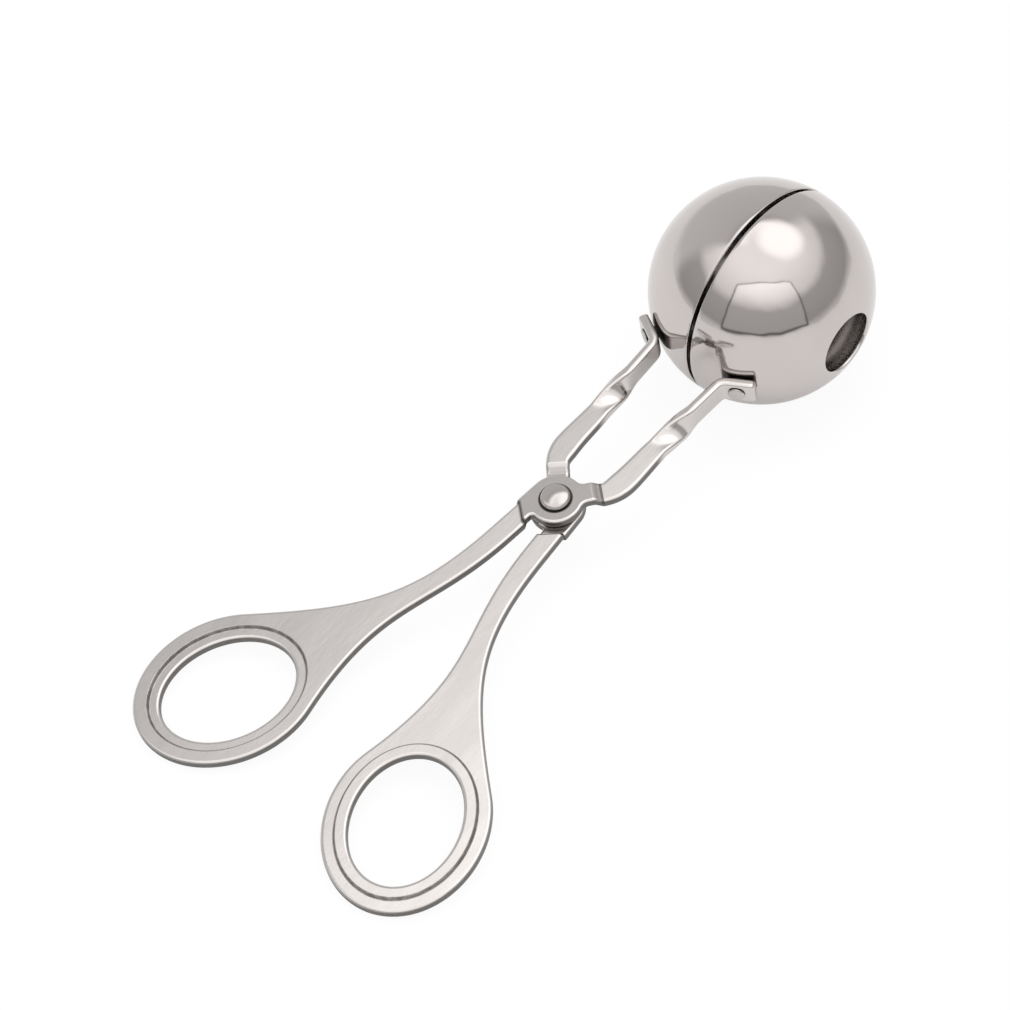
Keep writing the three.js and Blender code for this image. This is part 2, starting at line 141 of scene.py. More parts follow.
def bordered_plate(bm, outline, hole_edges):
    """A flat plate with a narrow border, filled round the edges of a hole."""
    face = bm.faces.new([bm.verts.new(point) for point in outline])
    face.normal_update()
    bmesh.ops.inset_region(bm, faces=[face], thickness=EDGE_BAND, use_even_offset=True, use_boundary=True)
    inside = list(face.edges)
    bmesh.ops.delete(bm, geom=[face], context="FACES_ONLY")
    bmesh.ops.triangle_fill(bm, use_beauty=True, edges=inside + hole_edges, normal=(0, 0, 1))


def widen_ring(bm, edges, matrix):
    """Extrudes a closed row of edges and moves the new row by a matrix."""
    made = bmesh.ops.extrude_edge_only(bm, edges=edges)["geom"]
    row = [item for item in made if isinstance(item, bmesh.types.BMVert)]
    bmesh.ops.transform(bm, matrix=matrix, verts=row)
    fresh = [item for item in made if isinstance(item, bmesh.types.BMEdge)]
    return row, [edge for edge in fresh if all(vert in row for vert in edge.verts)]


print("sheet", SHEET, "mm thick, border", EDGE_BAND, "mm wide")


# %% [markdown]
# The finger loop is an oval hole with a ring pressed about a third of the sheet deep, so that its edge is
# stiff and kind to the finger. The ring is drawn as rows of one oval, each a little wider than the last.
# Each row keeps how far the upper and the lower face sink, because a press leaves a short round slope, which
# lies further out on the lower face. It also keeps how much shade is painted on that slope.

# %% Finger loop
HOLE_LENGTH = 26.7
HOLE_WIDTH = 21
RING_WIDTH = 2.2
RING_STEP = 0.7
LOOP_RIM = 2.9
LOOP_REACH = 68.4
LOOP_GAP = 14
LOOP_TURN = radians(-25.7)
PRESS_SLOPE = 0.42  # width of the rounded slope that the press leaves
PRESS_ROWS = 4  # rows across that slope
FLAT_ROW = 0.12  # narrow flat row beside a slope, which keeps the slope's shading off the flat
LOOP_STEPS = 112
loop_half_length = HOLE_LENGTH / 2 + RING_WIDTH + LOOP_RIM
loop_half_width = HOLE_WIDTH / 2 + RING_WIDTH + LOOP_RIM
loop_half_spread = hypot(loop_half_length * sin(LOOP_TURN), loop_half_width * cos(LOOP_TURN))
loop_middle = Vector((-LOOP_REACH, LOOP_GAP / 2 + loop_half_spread, 0))
loop_place = Matrix.Translation(loop_middle) @ Matrix.Rotation(LOOP_TURN, 4, "Z")


def oval_size(margin):
    return Matrix.Diagonal((HOLE_LENGTH / 2 + margin, HOLE_WIDTH / 2 + margin, 1, 1))


def smooth_step(value):
    clamped = min(max(value, 0), 1)
    return clamped * clamped * (3 - 2 * clamped)


def sunk(margin, press_line):
    """Share of the ring's depth at a margin from the hole."""
    return 1 - smooth_step((margin - press_line) / PRESS_SLOPE + 0.5)


def slope_shade(margin, press_line):
    """Mask for painted shade: 1 on the slope of the press and 0 on the flats beside it."""
    return 1 - min(max((abs(margin - press_line) - PRESS_SLOPE / 2) / FLAT_ROW, 0), 1)


def press_ring(bm, layers):
    """Rows of ovals from the hole out to the rim. Returns the outermost row's edges."""
    row_gap = PRESS_SLOPE / PRESS_ROWS
    lower_line = RING_WIDTH + round(RING_STEP / 2 / row_gap) * row_gap
    row_count = round((lower_line - RING_WIDTH + PRESS_SLOPE) / row_gap)
    first = RING_WIDTH - PRESS_SLOPE / 2
    slope_rows = [first + row_gap * row for row in range(row_count + 1)]
    margins = [0, EDGE_BAND, first - FLAT_ROW] + slope_rows + [slope_rows[-1] + FLAT_ROW]
    circle = bmesh.ops.create_circle(bm, segments=LOOP_STEPS, radius=1)["verts"]
    bmesh.ops.transform(bm, matrix=loop_place @ oval_size(0), verts=circle)
    edges = list({edge for vert in circle for edge in vert.link_edges})
    row = circle
    for margin, wider in zip(margins, margins[1:] + [None]):
        for vert in row:
            vert[layers["upper_press"]] = sunk(margin, RING_WIDTH)
            vert[layers["lower_press"]] = sunk(margin, lower_line)
            # the shade painted on the slope of the press, for each face
            vert[layers["upper_crease"]] = slope_shade(margin, RING_WIDTH)
            vert[layers["lower_crease"]] = slope_shade(margin, lower_line)
        if wider is not None:
            grow = loop_place @ oval_size(wider) @ oval_size(margin).inverted() @ loop_place.inverted()
            row, edges = widen_ring(bm, edges, grow)
    return edges


print("loop middle", loop_middle, "hole", HOLE_LENGTH, "x", HOLE_WIDTH)

# %% [markdown]
# From the loop the web narrows into the shank. Its edges are two four-point curves that leave the loop's
# rim along the rim and arrive along the shank, which is how a stamping tool is drawn: no corner anywhere
# for a crack to start. The shank ends where the sheet steps up to the boss. That step runs askew on the
# real arm. A square one is easier to extrude, so it is warped afterwards.

# %% Handle
SHANK_WIDTH = 4.6
SHANK_GAP = 1.8
SHANK_ANGLE = radians(5)
SHANK_STRAIGHT = 4
CREASE_MARGIN = 1.5
CREASE_SLANT = 2.2  # how much nearer to the pivot the step's outer end lies
SHANK_STEP_RUN = 0.9  # length of the slope where the shank steps up to the boss
BOSS_GAP = 0.3
WEB_BREAKS = (radians(62), radians(-48))
WEB_OUTER_PULLS = (0.42, 0.47)
WEB_INNER_PULLS = (0.42, 0.52)
WEB_STEPS = 40
COLUMNS = (-1, -0.68, 0, 0.68, 1)  # points across the shank or the strip, as shares of its half width
boss_radius = SHANK_WIDTH + SHANK_GAP / 2
crease_radius = boss_radius + CREASE_MARGIN
joggle = (SHEET + BOSS_GAP) / 2
shank_along = polar(-SHANK_ANGLE)
shank_left = left_of(shank_along)
shank_inner = boss_radius - SHANK_WIDTH
crease_along = -sqrt(crease_radius ** 2 - shank_inner ** 2)
shank_cut = crease_along - SHANK_STEP_RUN - FLAT_ROW
shank_neck = crease_along - SHANK_STEP_RUN - SHANK_STRAIGHT
square_end = SHANK_WIDTH / 2 * (1 - COLUMNS[-2])  # at both ends of the step, where the edges are rolled


def shank_point(along, left):
    return shank_along * along + shank_left * left


def slant_step(verts):
    """Turns the step across the shank askew, as a crease round the pivot crosses it."""
    for vert in verts:
        along, left = vert.co.dot(shank_along), vert.co.dot(shank_left)
        if shank_neck < along < 0 and shank_inner < left < boss_radius + FLAT_ROW:
            fade = min((along - shank_neck) / (shank_cut - shank_neck), along / crease_along, 1)
            across = (left - shank_inner - square_end) / (SHANK_WIDTH - 2 * square_end)
            vert.co += shank_along * CREASE_SLANT * min(max(across, 0), 1) * fade


def rim_point(angle):
    return loop_place @ (oval_size(RING_WIDTH + LOOP_RIM) @ Vector((cos(angle), sin(angle), 0)))


def rim_tangent(angle):
    slope = oval_size(RING_WIDTH + LOOP_RIM) @ Vector((-sin(angle), cos(angle), 0))
    return (loop_place.to_3x3() @ slope).normalized()


def handle_outline():
    rim_start, rim_end = WEB_BREAKS[0], WEB_BREAKS[1] + tau
    outer_cut = shank_point(shank_cut, boss_radius)
    inner_cut = shank_point(shank_cut, shank_inner)
    outer_neck = shank_point(shank_neck, boss_radius)
    inner_neck = shank_point(shank_neck, shank_inner)
    outer_rim, inner_rim = rim_point(rim_start), rim_point(rim_end)
    outer_reach = (outer_rim - outer_neck).length
    inner_reach = (inner_rim - inner_neck).length
    outer_web = interpolate_bezier(
        outer_neck,
        outer_neck - shank_along * WEB_OUTER_PULLS[0] * outer_reach,
        outer_rim - rim_tangent(rim_start) * WEB_OUTER_PULLS[1] * outer_reach,
        outer_rim, WEB_STEPS)
    inner_web = interpolate_bezier(
        inner_rim,
        inner_rim + rim_tangent(rim_end) * WEB_INNER_PULLS[1] * inner_reach,
        inner_neck - shank_along * WEB_INNER_PULLS[0] * inner_reach,
        inner_neck, WEB_STEPS)
    turn = (rim_end - rim_start) / LOOP_STEPS
    rim = [rim_point(rim_start + turn * step) for step in range(1, LOOP_STEPS)]
    cut = between(inner_cut, outer_cut, COLUMNS)
    return outer_web + rim + inner_web + cut


print("shank", SHANK_WIDTH, "mm wide, steps up", round(joggle, 3), "mm over", SHANK_STEP_RUN, "mm")

# %% [markdown]
# The boss is the round plate that the rivet goes through. The shank and the front strip grow out of it with
# filleted corners. It lies a little over half a sheet above the shank, so that the two arms can cross there
# while their handles stay in one plane.

# %% Boss
SHANK_FILLET = 0.6
STRIP_FILLET = 1.8
STRIP_WIDTH = 4.5
STRIP_ANGLE = radians(40)
PIVOT_HOLE = 4.2
PIVOT_STEPS = 48
FILLET_STEPS = 8
BOSS_STEPS = 28
strip_along = polar(-STRIP_ANGLE)
strip_left = left_of(strip_along)
strip_root = crease_radius - FLAT_ROW


def fillet_middle(outward, distance, away, radius):
    """Middle of the fillet between the boss and an edge at a distance from the pivot."""
    across = distance + radius
    return outward * across + away * sqrt((boss_radius + radius) ** 2 - across ** 2)


def shank_root():
    outer = shank_point(crease_along + FLAT_ROW, boss_radius)
    inner = shank_point(crease_along + FLAT_ROW, shank_inner)
    return between(outer, inner, COLUMNS)


def fillet(middle, radius, start, end):
    return arc(middle, radius, angle_of(start), angle_of(end), FILLET_STEPS, clockwise=True)


def boss_outline():
    origin = Vector((0, 0, 0))
    shank_corner = fillet_middle(-shank_left, -shank_inner, -shank_along, SHANK_FILLET)
    outer_corner = fillet_middle(-strip_left, STRIP_WIDTH / 2, strip_along, STRIP_FILLET)
    inner_corner = fillet_middle(strip_left, STRIP_WIDTH / 2, strip_along, STRIP_FILLET)
    root = strip_along * strip_root
    half_across = strip_left * STRIP_WIDTH / 2
    return (
        shank_root()
        + fillet(shank_corner, SHANK_FILLET, shank_left, -shank_corner)
        + arc(origin, boss_radius, angle_of(shank_corner), angle_of(outer_corner), BOSS_STEPS)[1:]
        + fillet(outer_corner, STRIP_FILLET, -outer_corner, strip_left)[1:]
        + between(root - half_across, root + half_across, COLUMNS)
        + fillet(inner_corner, STRIP_FILLET, -strip_left, -inner_corner)
        + arc(origin, boss_radius, angle_of(inner_corner), angle_of(shank_left), BOSS_STEPS)[1:])


print("boss", 2 * boss_radius, "mm across, strip leaves it", round(strip_root, 2), "mm from the pivot")

# %% [markdown]
# Beyond the boss the strip steps down again, swells a little, curves forward, turns on edge by a quarter
# twist and bends to a flat tab against the cup. A curve with a bevel profile would twist by its own rules, so
# the strip is extruded row by row: each row is the last one, moved from its station to the next.

# %% Front strip
BALL_REACH = 62
STRIP_PULLS = (0.24, 0.36)
STRIP_SPREAD = 7.4
BEND_SPREAD = 8.3
STRIP_SWELL = 1.4  # extra width beyond the step, which fades along the curve
SWELL_RISE = 0.4  # share of the curve over which the strip swells
TWIST_LENGTH = 11
TWIST_TO_BEND = 7.5
BEND_RADIUS = 2.4
TAB_ANGLE = radians(28)
TAB_WIDTH = 5.2
TAB_END = 3.6
SEAT_GAP = 0.3
STRIP_STEPS = 24
JOGGLE_STEPS = 6
BEND_STEPS = 12
STRIP_STEP_RUN = 2  # length of the slope where the strip steps down from the boss
right_low, right_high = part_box("right_cup")
rim_gap = -2 * right_high.y / METRES
rim_radius = (right_high.x - right_low.x) / 2 / METRES
ball_radius = hypot(rim_radius, rim_gap / 2)
ball_middle = Vector((BALL_REACH, 0, 0))
tab_out = -polar(TAB_ANGLE)
tab_along = Vector((sin(TAB_ANGLE), -cos(TAB_ANGLE), 0))
tab_rivet = ball_middle + tab_out * (ball_radius + SEAT_GAP + SHEET / 2)
tab_corner = tab_rivet + tab_along * (-BEND_SPREAD - tab_rivet.y) / tab_along.y
tab_end = tab_rivet + tab_along * TAB_END
twist_run = sqrt((TWIST_LENGTH + TWIST_TO_BEND) ** 2 - (BEND_SPREAD - STRIP_SPREAD) ** 2)
twist_start = Vector((tab_corner.x - twist_run, -STRIP_SPREAD, 0))


def station(point, direction, half_width, roll=0):
    """Matrix that places a row of the strip, rolled about its own direction."""
    side, up = left_of(direction), Vector((0, 0, 1))
    across = (side * cos(roll) + up * sin(roll)) * half_width
    face = up * cos(roll) - side * sin(roll)
    matrix = Matrix((across, direction, face)).transposed().to_4x4()
    matrix.translation = point
    return matrix


def joggle_rows(slope_run):
    """How far each row of a step lies from the boss, and its share of the boss's height."""
    slope = [step / JOGGLE_STEPS for step in range(JOGGLE_STEPS + 1)]
    rows = [(FLAT_ROW + slope_run * share, 1 - smooth_step(share)) for share in slope]
    return rows + [(slope_run + 2 * FLAT_ROW, 0)]


def strip_stations():
    """Stations from the boss to the end of the tab, and the boss's share of each one's height."""
    half = STRIP_WIDTH / 2
    stations = [station(strip_along * strip_root, strip_along, half)]
    lifts = [1]
    for run, lift in joggle_rows(STRIP_STEP_RUN):
        stations.append(station(strip_along * (strip_root + run), strip_along, half))
        lifts.append(lift)

    on_edge = (tab_corner - twist_start).normalized()
    curve_start = strip_along * (strip_root + STRIP_STEP_RUN + 2 * FLAT_ROW)
    reach = (twist_start - curve_start).length
    sweep = interpolate_bezier(
        curve_start,
        curve_start + strip_along * STRIP_PULLS[0] * reach,
        twist_start - on_edge * STRIP_PULLS[1] * reach,
        twist_start, STRIP_STEPS)
    for step, (behind, point, ahead) in enumerate(zip(sweep, sweep[1:], sweep[2:])):
        share = (step + 1) / STRIP_STEPS
        swell = STRIP_SWELL * smooth_step(share / SWELL_RISE) * (1 - share)
        stations.append(station(point, (ahead - behind).normalized(), half + swell / 2))

    for step in range(STRIP_STEPS + 1):
        share = step / STRIP_STEPS
        eased = smooth_step(share)
        half = (STRIP_WIDTH + (TAB_WIDTH - STRIP_WIDTH) * eased) / 2
        point = twist_start + on_edge * TWIST_LENGTH * share
        stations.append(station(point, on_edge, half, roll=eased * pi / 2))

    half = TAB_WIDTH / 2
    bend = acos(on_edge.dot(tab_along))
    bend_start = tab_corner - on_edge * BEND_RADIUS * tan(bend / 2)
    bend_middle = bend_start - left_of(on_edge) * BEND_RADIUS
    for step in range(BEND_STEPS + 1):
        direction = polar(angle_of(on_edge) - bend * step / BEND_STEPS)
        stations.append(station(bend_middle + left_of(direction) * BEND_RADIUS, direction, half, roll=pi / 2))

    stations.append(station(tab_end, tab_along, half, roll=pi / 2))
    return stations, lifts + [0] * (len(stations) - len(lifts))


def extrude_row(bm, row, matrix):
    """Extrudes an open row of vertices and moves the new row by a matrix."""
    edges = [bm.edges.get(pair) for pair in zip(row, row[1:])]
    made = bmesh.ops.extrude_edge_only(bm, edges=edges)["geom"]
    fresh = [item for item in made if isinstance(item, bmesh.types.BMVert)]
    ordered = [min(fresh, key=lambda vert: (vert.co - old.co).length) for old in row]
    bmesh.ops.transform(bm, matrix=matrix, verts=fresh)
    return ordered


def row_at(bm, points):
    """The vertices that lie at these points."""
    return [min(bm.verts, key=lambda vert: (vert.co - point).length) for point in points]


print("tab corner", tab_corner, "rivet", tab_rivet, "stations", len(strip_stations()[0]))

# %% [markdown]
# A sheet gets its thickness last. Solidify lays half of it on each side. It is a modifier and works on an
# object, so the sheet goes through a throwaway one. A punch leaves sharp edges, and tumbling rolls them over:
# each edge between a face and a punched wall is beveled, and the walls are marked for painted shade.

# %% Thickness
TAB_CORNER = 0.8
CORNER_STEPS = 5
CORNER_REACH = 0.6  # in thicknesses: both ends of a corner's edge lie nearer to its middle
PUNCHED_EDGE = radians(50)


def thicken(bm, thickness):
    """Gives an open sheet its thickness, half on each side."""
    mesh = bpy.data.meshes.new("sheet")
    bm.to_mesh(mesh)
    sheet = bpy.data.objects.new("sheet", mesh)
    bpy.context.scene.collection.objects.link(sheet)
    wall = sheet.modifiers.new("wall", "SOLIDIFY")
    wall.thickness = thickness
    wall.offset = 0
    wall.use_even_offset = True
    wall.use_quality_normals = True
    solid = bpy.data.meshes.new_from_object(sheet.evaluated_get(bpy.context.evaluated_depsgraph_get()))
    bm.clear()
    bm.from_mesh(solid)
    bpy.data.objects.remove(sheet)
    bpy.data.meshes.remove(mesh)
    bpy.data.meshes.remove(solid)


def round_edges(bm, edges, offset, segments):
    bmesh.ops.bevel(bm, geom=list(edges), offset=offset, segments=segments, profile=0.5, affect="EDGES",
                    material=-1)


def round_tab(bm):
    """Rounds the two corners at the end of the tab."""
    corners = [tab_end + Vector((0, 0, side * TAB_WIDTH / 2)) for side in (-1, 1)]
    across = [
        edge for edge in bm.edges for corner in corners
        if all((vert.co - corner).length < CORNER_REACH * SHEET for vert in edge.verts)]
    round_edges(bm, across, TAB_CORNER, CORNER_STEPS)


def roll_edges(bm, offset, segments):
    """Rounds every punched edge of a sheet, and marks the walls between them for painted shade."""
    sharp = {edge for edge in bm.edges if edge.is_manifold and edge.calc_face_angle() > PUNCHED_EDGE}
    wall = bm.faces.layers.int.new("wall")
    for face in bm.faces:
        cut = [edge for edge in face.edges if edge in sharp]
        corners = {vert for edge in cut for vert in edge.verts}
        face[wall] = len(cut) == 2 and len(corners) == 4
    round_edges(bm, sharp, offset, segments)
    shaded_wall = bm.verts.layers.float.new("shaded_wall")
    for vert in bm.verts:
        vert[shaded_wall] = all(face[wall] for face in vert.link_faces)
    return len(sharp)


print("edges over", round(degrees(PUNCHED_EDGE)), "degrees are rolled")

# %% [markdown]
# Three stretches of the arm are extruded row by row: the rings round the pivot hole, the step of the shank,
# and the strip. Shade is painted beside the rivet's head and in the steps, so these rows also note how much
# of it lies on them.

# %% Rows of the arm
# Painted shade: a dark ring round the pivot's head and dark lines in the steps.
SHADE_RING = 0.3  # width of the ring of painted shade round the pivot's head
SHADE_RING_FADE = 0.2
STEP_SHADE = 0.8  # painted shade in the inner corner at the foot of the strip's step
PIVOT_HEAD = 5.9


def drill_pivot(bm, layers):
    """Rings of faces round the pivot hole, with painted shade out to just beyond the rivet's head. Returns
    the outermost ring's edges.
    """
    hole = bmesh.ops.create_circle(bm, segments=PIVOT_STEPS, radius=PIVOT_HOLE / 2)["verts"]
    edges = list({edge for vert in hole for edge in vert.link_edges})
    rings = [PIVOT_HOLE / 2, PIVOT_HOLE / 2 + EDGE_BAND, PIVOT_HEAD / 2 + SHADE_RING]
    rings.append(rings[-1] + SHADE_RING_FADE)
    for radius, wider in zip(rings, rings[1:]):
        for vert in hole:
            vert[layers["painted_shade"]] = 1
        grow = Matrix.Diagonal((wider / radius, wider / radius, 1, 1))
        hole, edges = widen_ring(bm, edges, grow)
    for vert in hole:
        vert[layers["painted_shade"]] = 0
    return edges


def step_shank(bm, layers):
    """Rows of the slope from the boss to the shank, with most painted shade halfway down."""
    row = row_at(bm, shank_root())
    root = row[0].co.copy()
    for run, lift in joggle_rows(SHANK_STEP_RUN):
        row = extrude_row(bm, row, Matrix.Translation(root - shank_along * run - row[0].co))
        for vert in row:
            vert[layers["boss_lift"]] = lift
            vert[layers["painted_shade"]] = 4 * lift * (1 - lift)


def draw_strip(bm, layers):
    """Rows of the strip from the boss to the end of the tab, with painted shade at the foot of its step."""
    stations, lifts = strip_stations()
    row = row_at(bm, [stations[0] @ Vector((column, 0, 0)) for column in COLUMNS])
    foot = lifts.index(0)
    for index, (here, there) in enumerate(zip(stations, stations[1:]), 1):
        row = extrude_row(bm, row, there @ here.inverted())
        for vert in row:
            vert[layers["boss_lift"]] = lifts[index]
            vert[layers["foot"]] = STEP_SHADE * (foot - 1 <= index <= foot)


print("pivot head", PIVOT_HEAD, "mm, grime", SHADE_RING, "mm wide beside it")

# %% [markdown]
# Now the sheet comes together: ring, handle, step, boss and strip share their edge rows, so one merge makes
# them one surface. Thickness and rolled edges follow, and only then is the ring sunk and the boss lifted,
# because the bevels are cleaner on a flat sheet. The same pass marks where shade is painted: on the flat of
# the boss, and on the back of the tab, where it faces the ball.

# %% Arms
ROLLED_EDGE = 0.58
ROLLED_STEPS = 4
MERGE_DISTANCE = 0.002
FLAT_NORMAL = 0.995
SHADED_WALL_FADE = 3  # before the twist, where the painted shade of the punched walls ends
BALL_SHADE_FROM = 0.35  # how squarely a face looks at the ball where the painted shade starts
BALL_SHADE_SPAN = 0.4
ARM_MARKS = (
    "upper_press", "lower_press", "upper_crease", "lower_crease", "boss_lift", "crease", "painted_shade", "foot",
    "boss_shade", "ball_side_shade")


def press_and_mark(bm):
    """Sinks the ring, lifts the boss and marks where shade is painted."""
    layers = bm.verts.layers.float
    bm.normal_update()
    for vert in bm.verts:
        side = "upper" if vert.co.z > 0 else "lower"
        flat = all(abs(face.normal.z) > FLAT_NORMAL for face in vert.link_faces)
        # painted shade on the flat of the boss
        vert[layers["boss_shade"]] = vert[layers["boss_lift"]] * flat
        # painted shade on the faces beyond the twist that look at the ball
        if vert.co.x > twist_start.x + TWIST_LENGTH:
            toward_ball = (ball_middle - vert.co).normalized().dot(vert.normal)
            vert[layers["ball_side_shade"]] = smooth_step((toward_ball - BALL_SHADE_FROM) / BALL_SHADE_SPAN)
        vert.co.z += joggle * vert[layers["boss_lift"]] - RING_STEP * vert[layers[f"{side}_press"]]
        # painted shade on the slope of the press, taken from this face's row
        vert[layers["crease"]] = vert[layers[f"{side}_crease"]]
        # painted shade at the foot of the strip's step, on the upper face
        vert[layers["painted_shade"]] = max(vert[layers["painted_shade"]], vert[layers["foot"]] * (side == "upper"))
        # the punched walls' painted shade fades out before the twist
        vert[layers["shaded_wall"]] *= smooth_step((twist_start.x - vert.co.x) / SHADED_WALL_FADE)


def make_arm():
    bm = bmesh.new()
    for name in ARM_MARKS:
        bm.verts.layers.float.new(name)
    layers = bm.verts.layers.float
    ring = press_ring(bm, layers)
    bordered_plate(bm, handle_outline(), ring)
    handle = set(bm.verts)
    hole_edges = drill_pivot(bm, layers)
    round_hole = set(bm.verts) - handle
    bordered_plate(bm, boss_outline(), hole_edges)
    for vert in set(bm.verts) - handle:
        vert[layers["boss_lift"]] = 1
    step_shank(bm, layers)
    slant_step(set(bm.verts) - round_hole)
    draw_strip(bm, layers)

    bmesh.ops.remove_doubles(bm, verts=bm.verts, dist=MERGE_DISTANCE)
    bmesh.ops.recalc_face_normals(bm, faces=bm.faces)
    thicken(bm, SHEET)
    bmesh.ops.recalc_face_normals(bm, faces=bm.faces)
    round_tab(bm)
    rolled = roll_edges(bm, ROLLED_EDGE, ROLLED_STEPS)
    press_and_mark(bm)
    print("arm:", rolled, "edges rolled")
    return bm


arms = finish_halves(make_arm, ("upper_arm", "lower_arm"))

# %% [markdown]
# A cup is spun or drawn from thin sheet, so the way to model it is the way it is made: an arc from the rim
# to the vent, spun once round the pole. Spinning the finished wall profile would do too, but the arc alone
# keeps the wall even, and Solidify then gives it its thickness. The rim and the vent have broken edges.

# %% Cups
CUP_WALL = 0.8
CUP_EDGE = 0.2
CUP_EDGE_STEPS = 3
CUP_ARC_STEPS = 40
CUP_TURN_STEPS = 160
vent_radius = sqrt(ball_radius ** 2 - (right_low.y / METRES) ** 2)
wall_middle = ball_radius - CUP_WALL / 2


def make_cup():
    bm = bmesh.new()
    rim_angle = asin(rim_gap / 2 / wall_middle)
    vent_angle = acos(vent_radius / wall_middle)
    start = bm.verts.new(polar(-rim_angle, wall_middle))
    bmesh.ops.spin(bm, geom=[start], axis=(0, 0, 1), angle=-(vent_angle - rim_angle), steps=CUP_ARC_STEPS)
    bmesh.ops.spin(bm, geom=bm.verts[:] + bm.edges[:], axis=(0, 1, 0), angle=tau, steps=CUP_TURN_STEPS,
                   use_merge=True)
    bmesh.ops.remove_doubles(bm, verts=bm.verts, dist=MERGE_DISTANCE)
    bmesh.ops.recalc_face_normals(bm, faces=bm.faces)
    thicken(bm, CUP_WALL)
    bmesh.ops.recalc_face_normals(bm, faces=bm.faces)
    roll_edges(bm, CUP_EDGE, CUP_EDGE_STEPS)
    # Marks the inside of the cup, where shade is painted and the steel is rougher.
    inside = bm.verts.layers.float.new("inside")
    for vert in bm.verts:
        vert[inside] = vert.co.length < wall_middle
    bm.transform(Matrix.Translation(ball_middle))
    print("cup: vent", round(2 * vent_radius, 2), "mm wide")
    return bm


cups = finish_halves(make_cup, ("right_cup", "left_cup"))

# %% [markdown]
# The rivets hold it all together. A rivet head is upset under a hammer or a press: a short cylinder with a
# generous round on its shoulder and a low crown. A sphere would look like a ball stuck on, so the head is a
# cylinder whose top is inset ring by ring and raised to a dome, and whose shoulder is beveled afterwards. Its
# foot is darkened with painted shade.

# %% Rivets
RIVET_TURNS = 64
SHOULDER_STEPS = 8
CROWN_RINGS = 6
HEAD_CLEARANCE = 0.1
UNDERCUT_SHARE = 0.15  # of the head's height, rounded off underneath, where the shadow line is
SHADED_SHARE = 0.4  # of the head's height, darkened by painted shade beside it
# painted shade on the shank, inside the holes
SHANK_SHADE = 0.4
PIVOT_SHANK = 4
PIVOT_HEAD_HEIGHT = 1.25
PIVOT_TAIL_HEIGHT = 0.8
CUP_RIVET_SHANK = 2.6
CUP_RIVET_HEAD = 3.4
CUP_RIVET_HEIGHT = 0.5
FIRST_RING = 1.2  # least width of a crown's first ring, in shoulders, which leaves the bevel room
CROWN_SHARE = 0.34  # of the head's height, how far the crown stands above the shoulder
ROUND_SHARE = 0.48  # of the head's height, taken by the round shoulder


def face_at(bm, side):
    """The end face of a body that stands along Z, on its upper (+1) or lower (-1) side."""
    return max(bm.faces, key=lambda face: (round(side * face.calc_center_median().z, 4), face.calc_area()))


def crown(bm, side, radius, rise, shoulder):
    """Raises an end face to a dome, ring by ring, and rounds its shoulder."""
    top = face_at(bm, side)
    rim = list(top.edges)
    bm.normal_update()
    width = radius / (CROWN_RINGS + 1)
    widths = [max(width, FIRST_RING * shoulder)] + [width] * (CROWN_RINGS - 1)
    height = 0
    for ring, width in enumerate(widths):
        bmesh.ops.inset_region(bm, faces=[top], thickness=width, use_even_offset=True)
        raised = rise * (1 - (1 - sum(widths[:ring + 1]) / radius) ** 2)
        bmesh.ops.translate(bm, vec=(0, 0, side * (raised - height)), verts=list(top.verts))
        height = raised
    round_edges(bm, rim, shoulder, SHOULDER_STEPS)


def make_rivet(head_diameter, shank_diameter, grip, heights):
    """A rivet along Z, its head seated at 0 and its tail a grip below."""
    bm = bmesh.new()
    radius = head_diameter / 2
    shoulders = [height * (1 - CROWN_SHARE) for height in heights]
    bmesh.ops.create_cone(bm, cap_ends=True, segments=RIVET_TURNS, radius1=radius, radius2=radius,
                          depth=shoulders[0], matrix=Matrix.Translation((0, 0, shoulders[0] / 2)))
    undercut = heights[0] * UNDERCUT_SHARE
    round_edges(bm, face_at(bm, -1).edges, undercut, SHOULDER_STEPS // 2)
    under = face_at(bm, -1)
    bm.normal_update()
    bmesh.ops.inset_region(bm, faces=[under], thickness=radius - undercut - shank_diameter / 2,
                           use_even_offset=True)
    for drop, widen in ((grip, 1), (0, head_diameter / shank_diameter), (shoulders[1], 1)):
        under = bmesh.ops.extrude_discrete_faces(bm, faces=[under])["faces"][0]
        bmesh.ops.translate(bm, vec=(0, 0, -drop), verts=list(under.verts))
        bmesh.ops.scale(bm, vec=(widen, widen, 1), verts=list(under.verts))
    for side, height in zip((1, -1), heights):
        crown(bm, side, radius, height * CROWN_SHARE, height * ROUND_SHARE)
    bmesh.ops.recalc_face_normals(bm, faces=bm.faces)
    # Painted shade beside the head and the tail, and on the shank inside the holes.
    painted_shade = bm.verts.layers.float.new("painted_shade")
    for vert in bm.verts:
        above, below = vert.co.z / heights[0], (-grip - vert.co.z) / heights[1]
        vert[painted_shade] = 1 - smooth_step(max(above, below) / SHADED_SHARE)
        if -grip <= vert.co.z <= 0 and hypot(vert.co.x, vert.co.y) < shank_diameter / 2 + MERGE_DISTANCE:
            vert[painted_shade] = SHANK_SHADE
    print("rivet", round(head_diameter, 2), "mm head,", len(bm.faces), "faces")
    return bm


def make_pivot_rivet():
    seat = joggle + SHEET / 2 + HEAD_CLEARANCE
    bm = make_rivet(PIVOT_HEAD, PIVOT_SHANK, 2 * seat, (PIVOT_HEAD_HEIGHT, PIVOT_TAIL_HEIGHT))
    bm.transform(Matrix.Translation((0, 0, seat)))
    return bm


